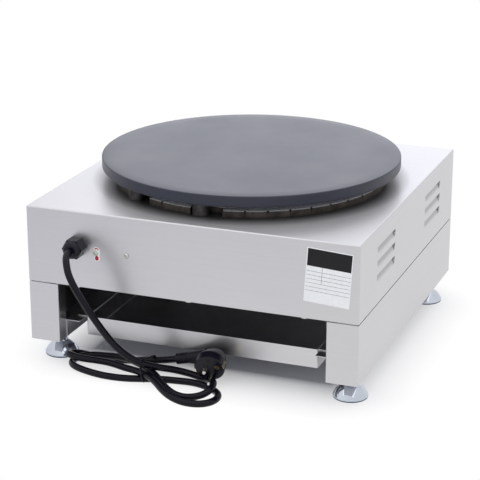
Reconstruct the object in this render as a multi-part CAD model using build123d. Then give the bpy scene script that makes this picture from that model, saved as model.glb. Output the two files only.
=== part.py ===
from build123d import *
import math
import os

# Electric crepe maker, in millimetres.
# The worktop is z = 0, the controls face -y, the mains lead leaves the back at +y.

# body
body_width = 445.0
body_depth = 450.0
foot_height = 33.6
frame_height = 79.8
casing_height = 101.0
sheet = 1.0
bend_radius = 2.0
base_plate_thickness = 1.2
base_plate_inset = 3.0
casing_flange = 15.0

# cooking plate and what stands under it
plate_diameter = 400.0
plate_thickness = 15.0
plate_lower_chamfer = 2.5
plate_upper_chamfer = 1.2
plate_clearance = 18.0
deck_hole_radius = 168.0
leg_diameter = 22.0
leg_circle = 180.0
leg_angles = (0.0, 34.0, 180.0, 214.0)

# heater pan
pan_radius = 182.0
pan_height = 8.6
pan_dish_radius = 165.0
pan_depth = 15.6
pan_sheet = 0.8
pan_tabs = 40
tab_slit = 0.4
tab_bend = 1.0
relief_hole = 3.2

# heating elements
element_diameter = 8.0
element_radii = (65.0, 130.0)
element_gap_angles = (44.0, 22.0)
element_bend = 10.0
element_leg_end = 172.0
clamp_thickness = 2.0
clamp_angles = (90.0, 210.0, 330.0)
clamp_stud_circle = 98.0

# frame posts, rails and drawer
post_width = 41.5
post_return = 20.0
rail_reach = 205.0
rail_top = 58.2
rail_flange = 19.8
tray_half_width = 159.3
tray_back = 188.0
tray_floor = 34.1
tray_lip = 13.7
drawer_face_width = 359.0
drawer_face_bottom = 35.5
drawer_face_top = 112.0
drawer_face_depth = 12.0
handle_spacing = 128.0
handle_bar = 8.0
handle_reach = 26.0
handle_corner = 10.0

# louvres in the side walls of the casing
louvre_length = 79.0
louvre_height = 11.0
louvre_depth = 3.5
louvre_corner = 8.0
louvre_tops = (190.1, 172.0, 153.6)
louvre_centres = (-112.0, 112.0)

# feet
foot_x = 200.65
foot_y = 181.0
foot_pad = 1.5
foot_radius = 22.4
bell_neck = 9.0
bell_top = 19.6
stud_radius = 5.0
stud_top = 52.0
running_clearance = 0.05

# controls on the front wall
knob_x = 0.0
control_z = 165.0
knob_diameter = 46.0
lamp_xs = (-105.0, -72.0)

# gland and lead
gland_x = 151.5
gland_z = 169.5
gland_flats = 24.0
gland_reach = 22.0
cord_diameter = 9.0
hank_height = 18.0

# holes, by radius
gland_hole_radius = 10.1
neck_hole_radius = 5.2
lamp_hole_radius = 5.0
screw_hole_radius = 2.2
frame_hole_radius = 2.6
bolt_hole_radius = 4.2

# worked out from the above
half_width = body_width / 2
half_depth = body_depth / 2
frame_top = foot_height + frame_height
casing_base = frame_top + base_plate_thickness
deck = casing_base + casing_height
plate_bottom = deck + plate_clearance
plate_radius = plate_diameter / 2
post_inner = half_width - post_width
pan_top = deck + pan_height
pan_floor = deck - pan_depth
cord_radius = cord_diameter / 2
element_z = plate_bottom - element_diameter / 2 - 0.02
clamp_top = element_z - element_diameter / 2 - 0.02
clamp_bottom = clamp_top - clamp_thickness
insulation_top = clamp_bottom


def block(x0, x1, y0, y1, z0, z1):
    """A box between two corners."""
    centre = Pos((x0 + x1) / 2, (y0 + y1) / 2, (z0 + z1) / 2)
    return centre * Box(x1 - x0, y1 - y0, z1 - z0)


def rod(radius, start, end):
    """A round bar from one point to another."""
    run = Vector(*end) - Vector(*start)
    return extrude(Plane(origin=start, z_dir=run) * Circle(radius), run.length)


def hexagon(flats, start, end):
    """A hexagonal bar from one point to another, two of its flats facing x."""
    run = Vector(*end) - Vector(*start)
    outline = RegularPolygon(flats / 2, 6, major_radius=False)
    return extrude(Plane(origin=start, x_dir=(1, 0, 0), z_dir=run) * outline, run.length)


def hex_nut(flats, hole, start, end):
    return hexagon(flats, start, end) - rod(hole, start, end)


def turned(points):
    """A solid of revolution about z from (radius, height) points."""
    return revolve(Plane.XZ * make_face(Polyline(*points, close=True)), Axis.Z)


def on_y_axis(shape, x, y, z):
    """Lays a part that was turned about z along y: its foot at the point, its top towards +y."""
    return Pos(x, y, z) * Rot(-90, 0, 0) * shape


def around(angle, radius, z=0.0):
    """A point on a circle, its angle counted from +y towards +x."""
    turn = math.radians(angle)
    return (radius * math.sin(turn), radius * math.cos(turn), z)


def corner_at(face, x, y):
    """The corner of a flat face that lies at a point."""
    return face.vertices().sort_by_distance((x, y, 0))[0]


def both_sides(shape):
    return shape, mirror(shape, Plane.YZ)


# casing


def louvre_outline(growth):
    """The D shape of a louvre: straight along the top, rounded at the lower corners."""
    width = louvre_length + 2 * growth
    height = louvre_height + growth
    outline = Rectangle(width, height)
    outline = fillet(outline.vertices().sort_by(Axis.Y)[:2], louvre_corner + growth)
    return Pos(0, -height / 2) * outline


def louvre_room(growth):
    """What a louvre pressed into the +x wall takes in, at y = 0 with its cut edge along z = 0.

    Its face leans in from the foot to the cut edge, where it stands open behind the wall."""
    wall = Plane((half_width - 20, 0, 0), x_dir=(0, 1, 0), z_dir=(1, 0, 0))
    plan = extrude(wall * louvre_outline(growth), 30)
    depth = louvre_depth + growth
    foot = -louvre_height - growth
    outside = half_width + 2
    slope = ThreePointArc((half_width, foot), (half_width - 0.6 * depth, foot / 2), (half_width - depth, 0))
    rest = Polyline((half_width - depth, 0), (outside, 0), (outside, foot), (half_width, foot))
    side = Plane((0, louvre_length, 0), x_dir=(1, 0, 0), z_dir=(0, -1, 0))
    section = make_face(slope.edges() + rest.edges())
    return plan & extrude(side * section, 2 * louvre_length)


def louvres(growth):
    rooms = []
    for y in louvre_centres:
        for top in louvre_tops:
            rooms.extend(both_sides(Pos(0, y, top) * louvre_room(growth)))
    return rooms


def folded_box(half_x, half_y, bottom, top, radius):
    """A box with bends along its upright edges and round its top face."""
    box = block(-half_x, half_x, -half_y, half_y, bottom, top)
    return fillet(box.edges().filter_by(Axis.Z) + box.faces().sort_by(Axis.Z)[-1].edges(), radius)


def casing():
    x_in = half_width - sheet
    y_in = half_depth - sheet
    outer = folded_box(half_width, half_depth, casing_base, deck, bend_radius)
    inner = folded_box(x_in, y_in, casing_base + sheet, deck - sheet, bend_radius - sheet)
    for shape in louvres(sheet):
        inner -= shape
    reach_x = x_in - casing_flange
    reach_y = y_in - casing_flange
    body = outer - inner - block(-reach_x, reach_x, -reach_y, reach_y, casing_base, casing_base + sheet)
    for shape in louvres(0.0):
        body -= shape
    body -= rod(deck_hole_radius, (0, 0, deck - 5), (0, 0, deck + 1))
    body -= rod(gland_hole_radius, (gland_x, y_in - 1, gland_z), (gland_x, half_depth + 1, gland_z))
    for x, z in rear_screw_places:
        body -= rod(screw_hole_radius, (x, y_in - 1, z), (x, half_depth + 1, z))
    body -= rod(neck_hole_radius, (knob_x, -half_depth - 1, control_z), (knob_x, -y_in + 1, control_z))
    for x in lamp_xs:
        body -= rod(lamp_hole_radius, (x, -half_depth - 1, control_z), (x, -y_in + 1, control_z))
    for x, y in frame_screw_places():
        body -= rod(frame_hole_radius, (x, y, casing_base - 1), (x, y, casing_base + sheet + 1))
    for angle in leg_angles:
        below = around(angle, leg_circle, deck - 5)
        body -= rod(bolt_hole_radius, below, around(angle, leg_circle, deck + 1))
    return body


lug_spacing = 152.6
lug_width = 6.0
vent_length = 60.0
vent_width = 6.0
vent_spacing_x = 90.0
vent_spacing_y = 30.0


def base_plate():
    x_out = half_width - base_plate_inset
    y_out = half_depth - base_plate_inset
    plate = block(-x_out, x_out, -y_out, y_out, frame_top, casing_base)
    y_lug = half_depth - 0.2
    for x in (-lug_spacing, 0.0, lug_spacing):
        plate += block(x - lug_width / 2, x + lug_width / 2, -y_lug, y_lug, frame_top, casing_base)
    vent = extrude(Plane.XY.offset(frame_top) * SlotOverall(vent_length, vent_width), base_plate_thickness)
    for row in range(-2, 3):
        for column in (-1, 0, 1):
            plate -= Pos(column * vent_spacing_x, row * vent_spacing_y, 0) * vent
    for x, y in frame_screw_places():
        plate -= rod(frame_hole_radius, (x, y, frame_top - 1), (x, y, casing_base + 1))
    return plate


# frame

frame_screw_x = 212.0
frame_screw_ys = (-150.0, 0.0, 150.0)
frame_screw_head = 4.2
frame_screw_head_height = 2.4
nut_flats = 17.0
nut_height = 8.0
top_flange = 27.0
rail_foot = 9.0


def frame_screw_places():
    return [(x, y) for x in (-frame_screw_x, frame_screw_x) for y in frame_screw_ys]


def foot_places():
    return {
        "front_left": (-foot_x, -foot_y),
        "front_right": (foot_x, -foot_y),
        "rear_left": (-foot_x, foot_y),
        "rear_right": (foot_x, foot_y),
    }


def right_side_panel():
    """One folded sheet: the side wall, a post at each end, a floor flange and a top flange."""
    outer = block(post_inner, half_width, -half_depth, half_depth, foot_height, frame_top)
    outer = fillet(outer.edges().filter_by(Axis.Z), bend_radius)
    inner = block(
        post_inner + sheet,
        half_width - sheet,
        -half_depth + sheet,
        half_depth - sheet,
        foot_height + sheet,
        frame_top - sheet,
    )
    inner = fillet(inner.edges().filter_by(Axis.Z), bend_radius - sheet)
    y_side = half_depth - post_return
    y_top = half_depth - sheet
    x_bend = post_inner + bend_radius
    panel = outer - inner
    panel -= block(post_inner - 1, x_bend, -y_side, y_side, foot_height + sheet, frame_top + 1)
    panel -= block(x_bend, half_width - top_flange, -y_top, y_top, frame_top - sheet, frame_top)
    for y in (-foot_y, foot_y):
        panel -= rod(stud_radius + 0.5, (foot_x, y, foot_height - 1), (foot_x, y, foot_height + 2))
    for y in frame_screw_ys:
        panel -= rod(frame_hole_radius, (frame_screw_x, y, frame_top - 3), (frame_screw_x, y, frame_top + 1))
    return panel


def right_rail():
    """An angle that carries the drawer: flange towards the middle, web, foot on the panel's floor flange."""
    inner_edge = post_inner - rail_flange
    foot_top = foot_height + 2 * sheet
    profile = Polyline(
        (inner_edge, rail_top - sheet),
        (inner_edge, rail_top),
        (post_inner, rail_top),
        (post_inner, foot_top),
        (post_inner + rail_foot, foot_top),
        (post_inner + rail_foot, foot_top - sheet),
        (post_inner - sheet, foot_top - sheet),
        (post_inner - sheet, rail_top - sheet),
        close=True,
    )
    face = Plane((0, rail_reach, 0), x_dir=(1, 0, 0), z_dir=(0, -1, 0)) * make_face(profile)
    return extrude(face, 2 * rail_reach)


def frame_screws():
    seat = frame_top - sheet
    screw = rod(frame_screw_head, (0, 0, seat - frame_screw_head_height), (0, 0, seat))
    screw += rod(2.4, (0, 0, seat), (0, 0, casing_base + 5))
    return [Pos(x, y, 0) * screw for x, y in frame_screw_places()]


def foot():
    """A chrome bell with its threaded stud, standing on its pad."""
    rim = foot_radius - 0.5
    skirt = Spline((foot_radius, 3.2), (18.4, 9.8), (12.8, 15.8), (bell_neck, bell_top - 1.2))
    before = Polyline((0, foot_pad), (rim, foot_pad), (foot_radius, foot_pad + 0.5), (foot_radius, 3.2))
    after = Polyline(
        (bell_neck, bell_top - 1.2),
        (bell_neck - 0.6, bell_top),
        (stud_radius, bell_top),
        (stud_radius, stud_top - 1),
        (stud_radius - 1, stud_top),
        (0, stud_top),
        (0, foot_pad),
    )
    return revolve(Plane.XZ * make_face(before.edges() + skirt.edges() + after.edges()), Axis.Z)


def foot_pad_ring():
    return turned([(0, 0), (21.2, 0), (22.0, 0.6), (22.0, foot_pad), (0, foot_pad)])


def nuts_at_feet(bottom):
    hole = stud_radius + running_clearance
    nut = hex_nut(nut_flats, hole, (0, 0, bottom), (0, 0, bottom + nut_height))
    return [Pos(x, y, 0) * nut for x, y in foot_places().values()]


# drawer

tray_front = -half_depth + drawer_face_depth
tray_screw_x = 120.0
tray_screw_z = 47.0
fixing_strip_width = 300.0
fixing_strip_top = 57.0
handle_z = (drawer_face_bottom + drawer_face_top) / 2


def drawer_tray():
    wall_top = rail_top + 0.1
    tray = block(-tray_half_width, tray_half_width, tray_front, tray_back, tray_floor, wall_top + sheet)
    tray = fillet(tray.edges().filter_by(Axis.Z), 1.5)
    tray -= block(
        -tray_half_width + sheet,
        tray_half_width - sheet,
        tray_front + sheet,
        tray_back - sheet,
        tray_floor + sheet,
        wall_top + 2 * sheet,
    )
    lip = block(
        tray_half_width - sheet,
        tray_half_width + tray_lip,
        tray_front + 1.5,
        tray_back - 1.5,
        wall_top,
        wall_top + sheet,
    )
    for side in both_sides(lip):
        tray += side
    for x in (-tray_screw_x, tray_screw_x):
        tray -= rod(screw_hole_radius, (x, tray_front - 1, tray_screw_z), (x, tray_front + 2, tray_screw_z))
    return tray


def drawer_front():
    half = drawer_face_width / 2
    face = -half_depth
    front = block(-half, half, face, tray_front, drawer_face_bottom, drawer_face_top)
    front = fillet(front.faces().sort_by(Axis.Y)[0].edges(), 1.5)
    inside = half - sheet
    low = drawer_face_bottom + sheet
    front -= block(-inside, inside, face + sheet, tray_front, low, drawer_face_top - sheet)
    half_strip = fixing_strip_width / 2
    front += block(-half_strip, half_strip, tray_front - sheet, tray_front, low, fixing_strip_top)
    for x in (-tray_screw_x, tray_screw_x):
        front -= rod(screw_hole_radius, (x, tray_front - 2, tray_screw_z), (x, tray_front + 1, tray_screw_z))
    for x in (-handle_spacing / 2, handle_spacing / 2):
        front -= rod(screw_hole_radius, (x, face - 1, handle_z), (x, face + 2, handle_z))
    return front


def drawer_handle():
    half = handle_spacing / 2
    face = -half_depth
    out = face - handle_reach + handle_bar / 2
    path = FilletPolyline(
        (-half, face, handle_z),
        (-half, out, handle_z),
        (half, out, handle_z),
        (half, face, handle_z),
        radius=handle_corner,
    )
    bow = sweep(Plane((-half, face, handle_z), z_dir=(0, -1, 0)) * Circle(handle_bar / 2), path=path)
    for x in (-half, half):
        bow -= rod(2.0, (x, face + 1, handle_z), (x, face - 10, handle_z))
    return bow


def pan_head_screw(start, end, head_radius=3.6, head=2.2, shank=1.95):
    """Its head starts at the first point and its shank ends at the second."""
    run = Vector(*end) - Vector(*start)
    crown = head_radius - 1.2
    domed = turned([(0, 0), (crown, 0), (head_radius - 0.3, 0.8), (head_radius, head), (0, head)])
    domed -= Box(head_radius, 0.9, 2.4) + Box(0.9, head_radius, 2.4)
    screw = domed + rod(shank, (0, 0, head), (0, 0, run.length))
    return Plane(origin=start, z_dir=run).location * screw


def drawer_screws():
    inside = -half_depth + sheet
    screws = []
    for x in (-handle_spacing / 2, handle_spacing / 2):
        screws.append(pan_head_screw((x, inside + 2.2, handle_z), (x, -half_depth - 9, handle_z)))
    for x in (-tray_screw_x, tray_screw_x):
        seat = tray_front + sheet
        screws.append(pan_head_screw((x, seat + 2.2, tray_screw_z), (x, tray_front - 4, tray_screw_z)))
    return screws


# cooking plate and heater

leg_bolt_radius = 4.0
leg_hole_depth = 8.0
clamp_stud_radius = 3.0
stud_hole_depth = 7.0
clamp_width = 18.0
clamp_inner_end = 45.0
clamp_outer_end = 148.0
element_hole_radius = 5.0
capillary_hole_radius = 2.5
leg_notch_beyond = 14.0
limiter_place = (-70.0, 60.0)


def clamp_places():
    return [around(angle, clamp_stud_circle) for angle in clamp_angles]


def element_leg_places():
    """Where the ends of the elements turn down, with the unit vector along the ring at each."""
    places = []
    for radius, gap in zip(element_radii, element_gap_angles):
        for side in (-1, 1):
            angle = 180 + side * gap / 2
            ring = Vector(*around(angle, radius))
            turn = math.radians(angle)
            along = Vector(math.cos(turn), -math.sin(turn), 0) * -side
            places.append((ring, ring + along * element_bend, along))
    return places


def griddle_plate():
    plate = turned(
        [
            (0, plate_bottom),
            (plate_radius - plate_lower_chamfer, plate_bottom),
            (plate_radius, plate_bottom + plate_lower_chamfer),
            (plate_radius, plate_bottom + plate_thickness - plate_upper_chamfer),
            (plate_radius - plate_upper_chamfer, plate_bottom + plate_thickness),
            (0, plate_bottom + plate_thickness),
        ]
    )
    for angle in leg_angles:
        base = around(angle, leg_circle, plate_bottom)
        plate -= rod(leg_bolt_radius + 0.05, base, around(angle, leg_circle, plate_bottom + leg_hole_depth))
    for x, y, _ in clamp_places():
        plate -= rod(clamp_stud_radius + 0.05, (x, y, plate_bottom), (x, y, plate_bottom + stud_hole_depth))
    return plate


def support_legs():
    leg = rod(leg_diameter / 2, (0, 0, deck), (0, 0, plate_bottom))
    leg = chamfer(leg.edges(), 0.6) - rod(bolt_hole_radius, (0, 0, deck - 1), (0, 0, plate_bottom + 1))
    return [Pos(*around(angle, leg_circle)) * leg for angle in leg_angles]


def leg_bolts():
    head_top = deck - sheet
    bolt = hexagon(13, (0, 0, head_top - 5.3), (0, 0, head_top))
    bolt += rod(leg_bolt_radius, (0, 0, head_top), (0, 0, plate_bottom + leg_hole_depth - 1))
    return [Pos(*around(angle, leg_circle)) * bolt for angle in leg_angles]


def heater_pan():
    """A dish whose rim turns outwards and down into a ring of bent tabs that stand on the deck."""
    t = pan_sheet
    section = Polyline(
        (0, pan_floor),
        (pan_dish_radius, pan_floor),
        (pan_dish_radius, pan_top - t),
        (pan_radius - t, pan_top - t),
        (pan_radius - t, deck),
        (pan_radius, deck),
        (pan_radius, pan_top),
        (pan_dish_radius - t, pan_top),
        (pan_dish_radius - t, pan_floor + t),
        (0, pan_floor + t),
        close=True,
    )
    face = make_face(section)
    face = fillet(corner_at(face, pan_radius, pan_top), tab_bend + t)
    face = fillet(corner_at(face, pan_radius - t, pan_top - t), tab_bend)
    pan = revolve(Plane.XZ * face, Axis.Z)
    step = 360 / pan_tabs
    slit = block(-tab_slit / 2, tab_slit / 2, pan_radius - 3, pan_radius + 1, deck - 1, pan_top - 1)
    bend_y = pan_radius - t / 2
    bend_z = pan_top - t / 2
    relief = rod(relief_hole / 2, (0, bend_y - 3, bend_z - 3), (0, bend_y + 3, bend_z + 3))
    for tab in range(pan_tabs):
        turn = Rot(0, 0, tab * step)
        pan -= turn * slit
        pan -= turn * relief
    notch_end = pan_radius * math.sin(math.radians(step))
    notch = block(-notch_end, leg_notch_beyond, pan_radius - 15, pan_radius + 1, deck - 1, pan_top + 1)
    for angle in leg_angles:
        pan -= Rot(0, 0, -angle) * notch
    for _, leg, _ in element_leg_places():
        pan -= rod(element_hole_radius, (leg.X, leg.Y, pan_floor - 1), (leg.X, leg.Y, pan_floor + 2))
    x, y = capillary_drop
    pan -= rod(capillary_hole_radius, (x, y, pan_floor - 1), (x, y, pan_floor + 2))
    return pan


def insulation_disc():
    radius = pan_dish_radius - pan_sheet - 0.5
    disc = rod(radius, (0, 0, pan_floor + pan_sheet), (0, 0, insulation_top))
    for _, leg, _ in element_leg_places():
        disc -= rod(element_hole_radius, (leg.X, leg.Y, pan_floor), (leg.X, leg.Y, insulation_top + 1))
    for x, y, _ in clamp_places():
        disc -= rod(8.0, (x, y, insulation_top - 10), (x, y, insulation_top + 1))
    x, y = capillary_drop
    disc -= rod(capillary_hole_radius, (x, y, pan_floor), (x, y, insulation_top + 1))
    return disc


def heating_element(index):
    """A tubular ring whose two ends turn down through the pan to their terminals."""
    radius = element_radii[index]
    first, second = element_leg_places()[2 * index : 2 * index + 2]
    low = element_z - element_bend
    edges = []
    for ring, leg, along in (first, second):
        hub = Vector(ring.X, ring.Y, low)
        mid = hub + (along + Vector(0, 0, 1)) * (element_bend * math.sqrt(0.5))
        edges.append(Line((leg.X, leg.Y, element_leg_end), (leg.X, leg.Y, low)).edges()[0])
        edges.append(ThreePointArc((leg.X, leg.Y, low), tuple(mid), (ring.X, ring.Y, element_z)).edges()[0])
    far = (0, radius, element_z)
    start = (first[0].X, first[0].Y, element_z)
    end = (second[0].X, second[0].Y, element_z)
    edges.append(ThreePointArc(start, far, end).edges()[0])
    path = Wire(edges)
    leg = first[1]
    section = Plane((leg.X, leg.Y, element_leg_end), z_dir=(0, 0, 1)) * Circle(element_diameter / 2)
    tube = sweep(section, path=path)
    for _, leg, _ in (first, second):
        tube += rod(2.0, (leg.X, leg.Y, element_leg_end - 12), (leg.X, leg.Y, element_leg_end))
    return tube


def element_clamps():
    clamps = []
    for angle in clamp_angles:
        half = clamp_width / 2
        bar = block(-half, half, clamp_inner_end, clamp_outer_end, clamp_bottom, clamp_top)
        bar = fillet(bar.edges().filter_by(Axis.Z), 4)
        below = (0, clamp_stud_circle, clamp_bottom - 1)
        bar -= rod(clamp_stud_radius + 0.1, below, (0, clamp_stud_circle, clamp_top + 1))
        clamps.append(Rot(0, 0, -angle) * bar)
    return clamps


def clamp_studs():
    return [
        rod(clamp_stud_radius, (x, y, clamp_bottom - 7), (x, y, plate_bottom + stud_hole_depth - 0.5))
        for x, y, _ in clamp_places()
    ]


def clamp_nuts():
    return [
        hex_nut(10, clamp_stud_radius + 0.05, (x, y, clamp_bottom - 5), (x, y, clamp_bottom))
        for x, y, _ in clamp_places()
    ]


def overheat_limiter():
    """A capped snap switch under the pan, with two blades for its wires."""
    limiter = rod(8.0, (0, 0, -11), (0, 0, -1)) + rod(12.0, (0, 0, -1), (0, 0, 0))
    for x in (-4.0, 4.0):
        limiter += block(x - 0.4, x + 0.4, -3, 3, -19, -11)
    return Pos(*limiter_place, pan_floor) * limiter


# thermostat and controls

capillary_drop = (62.0, -98.0)
bulb_z = plate_bottom - 3.05
bulb_half_length = 42.0
capillary_end = (knob_x + 16, -190.0, control_z)
thermostat_front = -half_depth + sheet
thermostat_depth = 26.0
spindle_radius = 3.0


def thermostat_bulb():
    """The sensing bulb under the plate, drawn out into the capillary that runs to the thermostat."""
    x, y = capillary_drop
    bulb = rod(3.0, (-bulb_half_length, y, bulb_z), (bulb_half_length, y, bulb_z))
    bulb = chamfer(bulb.edges(), 1.0)
    path = FilletPolyline(
        (bulb_half_length, y, bulb_z),
        (x, y, bulb_z),
        (x, y, control_z + 8),
        (x - 4, y - 42, control_z),
        (capillary_end[0], y - 67, control_z),
        capillary_end,
        radius=[8, 15, 15, 10],
    )
    return bulb + sweep(Plane((bulb_half_length, y, bulb_z), z_dir=(1, 0, 0)) * Circle(1.0), path=path)


def bulb_saddles():
    y = capillary_drop[1]
    saddle = block(-5, 5, y - 6, y + 6, insulation_top, bulb_z)
    saddle -= rod(3.02, (-6, y, bulb_z), (6, y, bulb_z))
    return [Pos(x, 0, 0) * saddle for x in (-28.0, 28.0)]


def thermostat_body():
    """Housing, clamping boss and threaded neck, bored for the spindle."""
    back = capillary_end[1]
    front = back - thermostat_depth
    housing = block(-22, 22, front, back, -17, 17)
    housing = chamfer(housing.edges(), 1.5)
    boss = rod(8.0, (0, thermostat_front, 0), (0, front + 1, 0))
    neck = rod(neck_hole_radius - 0.2, (0, -half_depth - 4, 0), (0, thermostat_front + 1, 0))
    bore = rod(spindle_radius + running_clearance, (0, -half_depth - 5, 0), (0, back - 8, 0))
    body = housing + boss + neck - bore
    for x in (-12, 12):
        body += block(x - 3, x + 3, back - 7, back - 6.2, -26, -17)
    return Pos(knob_x, 0, control_z) * body


def knob_bezel():
    bezel = turned([(5.2, 0), (31, 0), (31, 0.7), (30.4, 1.2), (5.2, 1.2)])
    return Pos(knob_x, -half_depth, control_z) * Rot(90, 0, 0) * bezel


def thermostat_nut():
    seat = -half_depth - 1.2
    return hex_nut(14, 5.02, (knob_x, seat, control_z), (knob_x, seat - 2.5, control_z))


def thermostat_spindle():
    front = (knob_x, -half_depth - 18, control_z)
    return rod(spindle_radius, front, (knob_x, capillary_end[1] - 9, control_z))


def thermostat_knob():
    """A skirted knob with a finger bar across it, hollow behind to clear the nut."""
    radius = knob_diameter / 2
    back = 2.4
    knob = turned(
        [
            (3.02, back + 5),
            (11.0, back + 5),
            (11.0, back),
            (radius, back),
            (radius, back + 4),
            (radius - 1.5, back + 6.5),
            (radius - 5, back + 8),
            (3.02, back + 8),
        ]
    )
    bar = block(-5.5, 5.5, -radius + 3.5, radius - 1.5, back + 6, back + 22.5)
    bar = fillet(bar.edges().filter_by(Axis.Z), 4)
    bar = fillet(bar.faces().sort_by(Axis.Z)[-1].edges(), 2)
    bar -= Pos(0, 0, back) * Cylinder(3.02, 15.7, align=(Align.CENTER, Align.CENTER, Align.MIN))
    return Pos(knob_x, -half_depth, control_z) * Rot(90, 0, 0) * (knob + bar)


def lamp_bodies():
    bezel = [(lamp_hole_radius - 0.1, 0), (7, 0), (7, 1.2), (6.4, 2), (4.6, 2), (4.6, 0.5), (0, 0.5)]
    body = turned([(0, -24), (lamp_hole_radius - 0.1, -24)] + bezel)
    return [Pos(x, -half_depth, control_z) * Rot(90, 0, 0) * body for x in lamp_xs]


def lamp_lens(x):
    lens = turned([(0, 0.5), (4.5, 0.5), (4.5, 3), (3.8, 4.2), (2.2, 5), (0, 5.3)])
    return Pos(x, -half_depth, control_z) * Rot(90, 0, 0) * lens


# mains entry

rear_screw_places = ((125.5, 162.6), (83.0, 164.6))
terminal_shelf_z = 148.0
terminal_bracket_xs = (74.0, 134.0)
terminal_block_centre = (105.0, 203.0)
terminal_pitch = 14.0


def gland_body():
    thread = turned(
        [(5.2, -7), (9.9, -7), (9.9, 0), (9.9, 6), (9.0, 6), (9.0, 15), (5.2, 15)],
    )
    ring = hexagon(gland_flats, (0, 0, 0), (0, 0, 6)) - rod(9, (0, 0, -1), (0, 0, 7))
    return on_y_axis(thread + ring, gland_x, half_depth, gland_z)


def gland_cap():
    """The compression cap: a hexagon that runs into a dome with the lead through its mouth."""
    shell = hexagon(gland_flats, (0, 0, 6), (0, 0, 16))
    top = gland_reach
    dome = turned([(0, 14), (11.9, 14), (11.9, 17), (10.6, 20), (8.6, top - 0.6), (7.6, top), (0, top)])
    cap = shell + dome - turned([(0, 5), (9.02, 5), (9.02, 18.6), (4.7, 19.4), (4.7, 23), (0, 23)])
    return on_y_axis(cap, gland_x, half_depth, gland_z)


def gland_seal():
    seal = turned([(4.52, 15), (8.9, 15), (8.9, 18.4), (4.52, 19.2)])
    return on_y_axis(seal, gland_x, half_depth, gland_z)


def gland_locknut():
    inside = half_depth - sheet
    return hex_nut(gland_flats, 9.92, (gland_x, inside - 5, gland_z), (gland_x, inside, gland_z))


def terminal_bracket():
    inside = half_depth - sheet
    left, right = terminal_bracket_xs
    bracket = block(left, right, inside - sheet, inside, terminal_shelf_z, terminal_shelf_z + 24)
    bracket += block(left, right, inside - 34, inside, terminal_shelf_z, terminal_shelf_z + sheet)
    for x, z in rear_screw_places:
        bracket -= rod(screw_hole_radius, (x, inside - 3, z), (x, inside + 1, z))
    return bracket


def terminal_block():
    """Ceramic strip with three ways, each with a wire hole through and two screw wells."""
    strip = block(-21, 21, -9, 9, 0, 17)
    for x in (-terminal_pitch, 0, terminal_pitch):
        strip -= rod(2.2, (x, -10, 7), (x, 10, 7))
        for y in (-4.5, 4.5):
            strip -= rod(2.0, (x, y, 7), (x, y, 18))
    return Pos(*terminal_block_centre, terminal_shelf_z + sheet) * strip


def rear_screws():
    outside = half_depth + 2.2
    return [pan_head_screw((x, outside, z), (x, half_depth - 9, z), 3.4) for x, z in rear_screw_places]


def rear_nuts():
    inside = half_depth - 2 * sheet
    return [hex_nut(7, 2.0, (x, inside - 3.2, z), (x, inside, z)) for x, z in rear_screw_places]


# mains lead

# plug: where its face is, which way its pins point and which way its earth hole lies
plug_face = (-26.8, 222.4, 26.9)
plug_pin_axis = (-0.156, 0.924, -0.347)
plug_earth_side = (-0.971, -0.0785, 0.229)
plug_radius = 19.5
plug_rim = 12.0
plug_depth = 28.5
pin_spacing = 19.0
pin_diameter = 4.8
pin_length = 19.0
earth_hole_reach = 10.5
neck_depth = 26.3
neck_reach = 34.0
relief_reach = 49.5
relief_radius = 6.5
relief_ribs = 5
plug_frame = Plane(origin=plug_face, x_dir=plug_earth_side, z_dir=plug_pin_axis)
relief_end = tuple(plug_frame.from_local_coords(Vector(-relief_reach, 0, -neck_depth)))
relief_run = tuple(plug_frame.from_local_coords(Vector(-relief_reach - 15, 0, -neck_depth)))
lead_route = [
    (151.5, 247.0, 169.5),
    (151.3, 253.5, 168.8),
    (149.0, 262.5, 166.0),
    (144.5, 270.5, 160.5),
    (139.5, 277.0, 152.5),
    (133.5, 280.5, 143.5),
    (127.0, 281.5, 133.0),
    (120.0, 279.5, 119.5),
    (112.5, 275.0, 103.5),
    (105.0, 268.5, 86.5),
    (97.0, 261.5, 69.5),
    (86.5, 255.5, 52.5),
    (72.0, 248.0, 37.5),
    (58.5, 240.5, 28.5),
    (48.5, 233.0, 23.5),
    (38.5, 225.0, 19.5),
    (25.5, 213.0, 14.0),
]
tail_route = [
    (97.5, 195.5, 9.0),
    (82.0, 199.5, 13.0),
    (67.0, 202.5, 17.0),
    (53.0, 203.5, 19.2),
    relief_run,
    relief_end,
]
# the hank, seen from above: its outline, the eyes of its two loops and the part that lies higher
hank_outline = [
    (181.0, 208.0),
    (175.0, 193.0),
    (152.0, 183.5),
    (122.0, 185.5),
    (97.0, 191.0),
    (76.0, 202.0),
    (52.0, 214.0),
    (31.0, 210.0),
    (13.0, 201.5),
    (-1.0, 199.5),
    (-14.0, 203.0),
    (-28.0, 213.0),
    (-47.0, 235.0),
    (-56.5, 259.5),
    (-51.0, 276.0),
    (-28.0, 289.5),
    (5.0, 283.5),
    (37.0, 258.0),
    (62.0, 243.5),
    (94.0, 248.0),
    (137.0, 247.0),
    (166.0, 231.0),
]
hank_left_eye = [
    (98.0, 211.0),
    (125.0, 203.5),
    (150.0, 202.0),
    (159.0, 211.0),
    (150.0, 221.5),
    (122.0, 218.0),
]
hank_right_eye = [
    (20.0, 232.0),
    (-12.0, 230.5),
    (-32.0, 241.0),
    (-30.0, 255.0),
    (-14.0, 262.5),
    (8.0, 257.0),
]
hank_upper_outline = [
    (180.5, 209.0),
    (172.0, 230.0),
    (149.0, 235.0),
    (121.0, 229.5),
    (92.0, 231.5),
    (60.0, 243.0),
    (36.0, 258.0),
    (24.0, 252.0),
    (40.0, 228.0),
    (62.0, 213.0),
    (84.0, 201.0),
    (112.0, 194.5),
    (124.0, 200.0),
    (96.0, 213.0),
    (122.0, 219.0),
    (152.0, 224.0),
    (168.0, 208.0),
]
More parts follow.
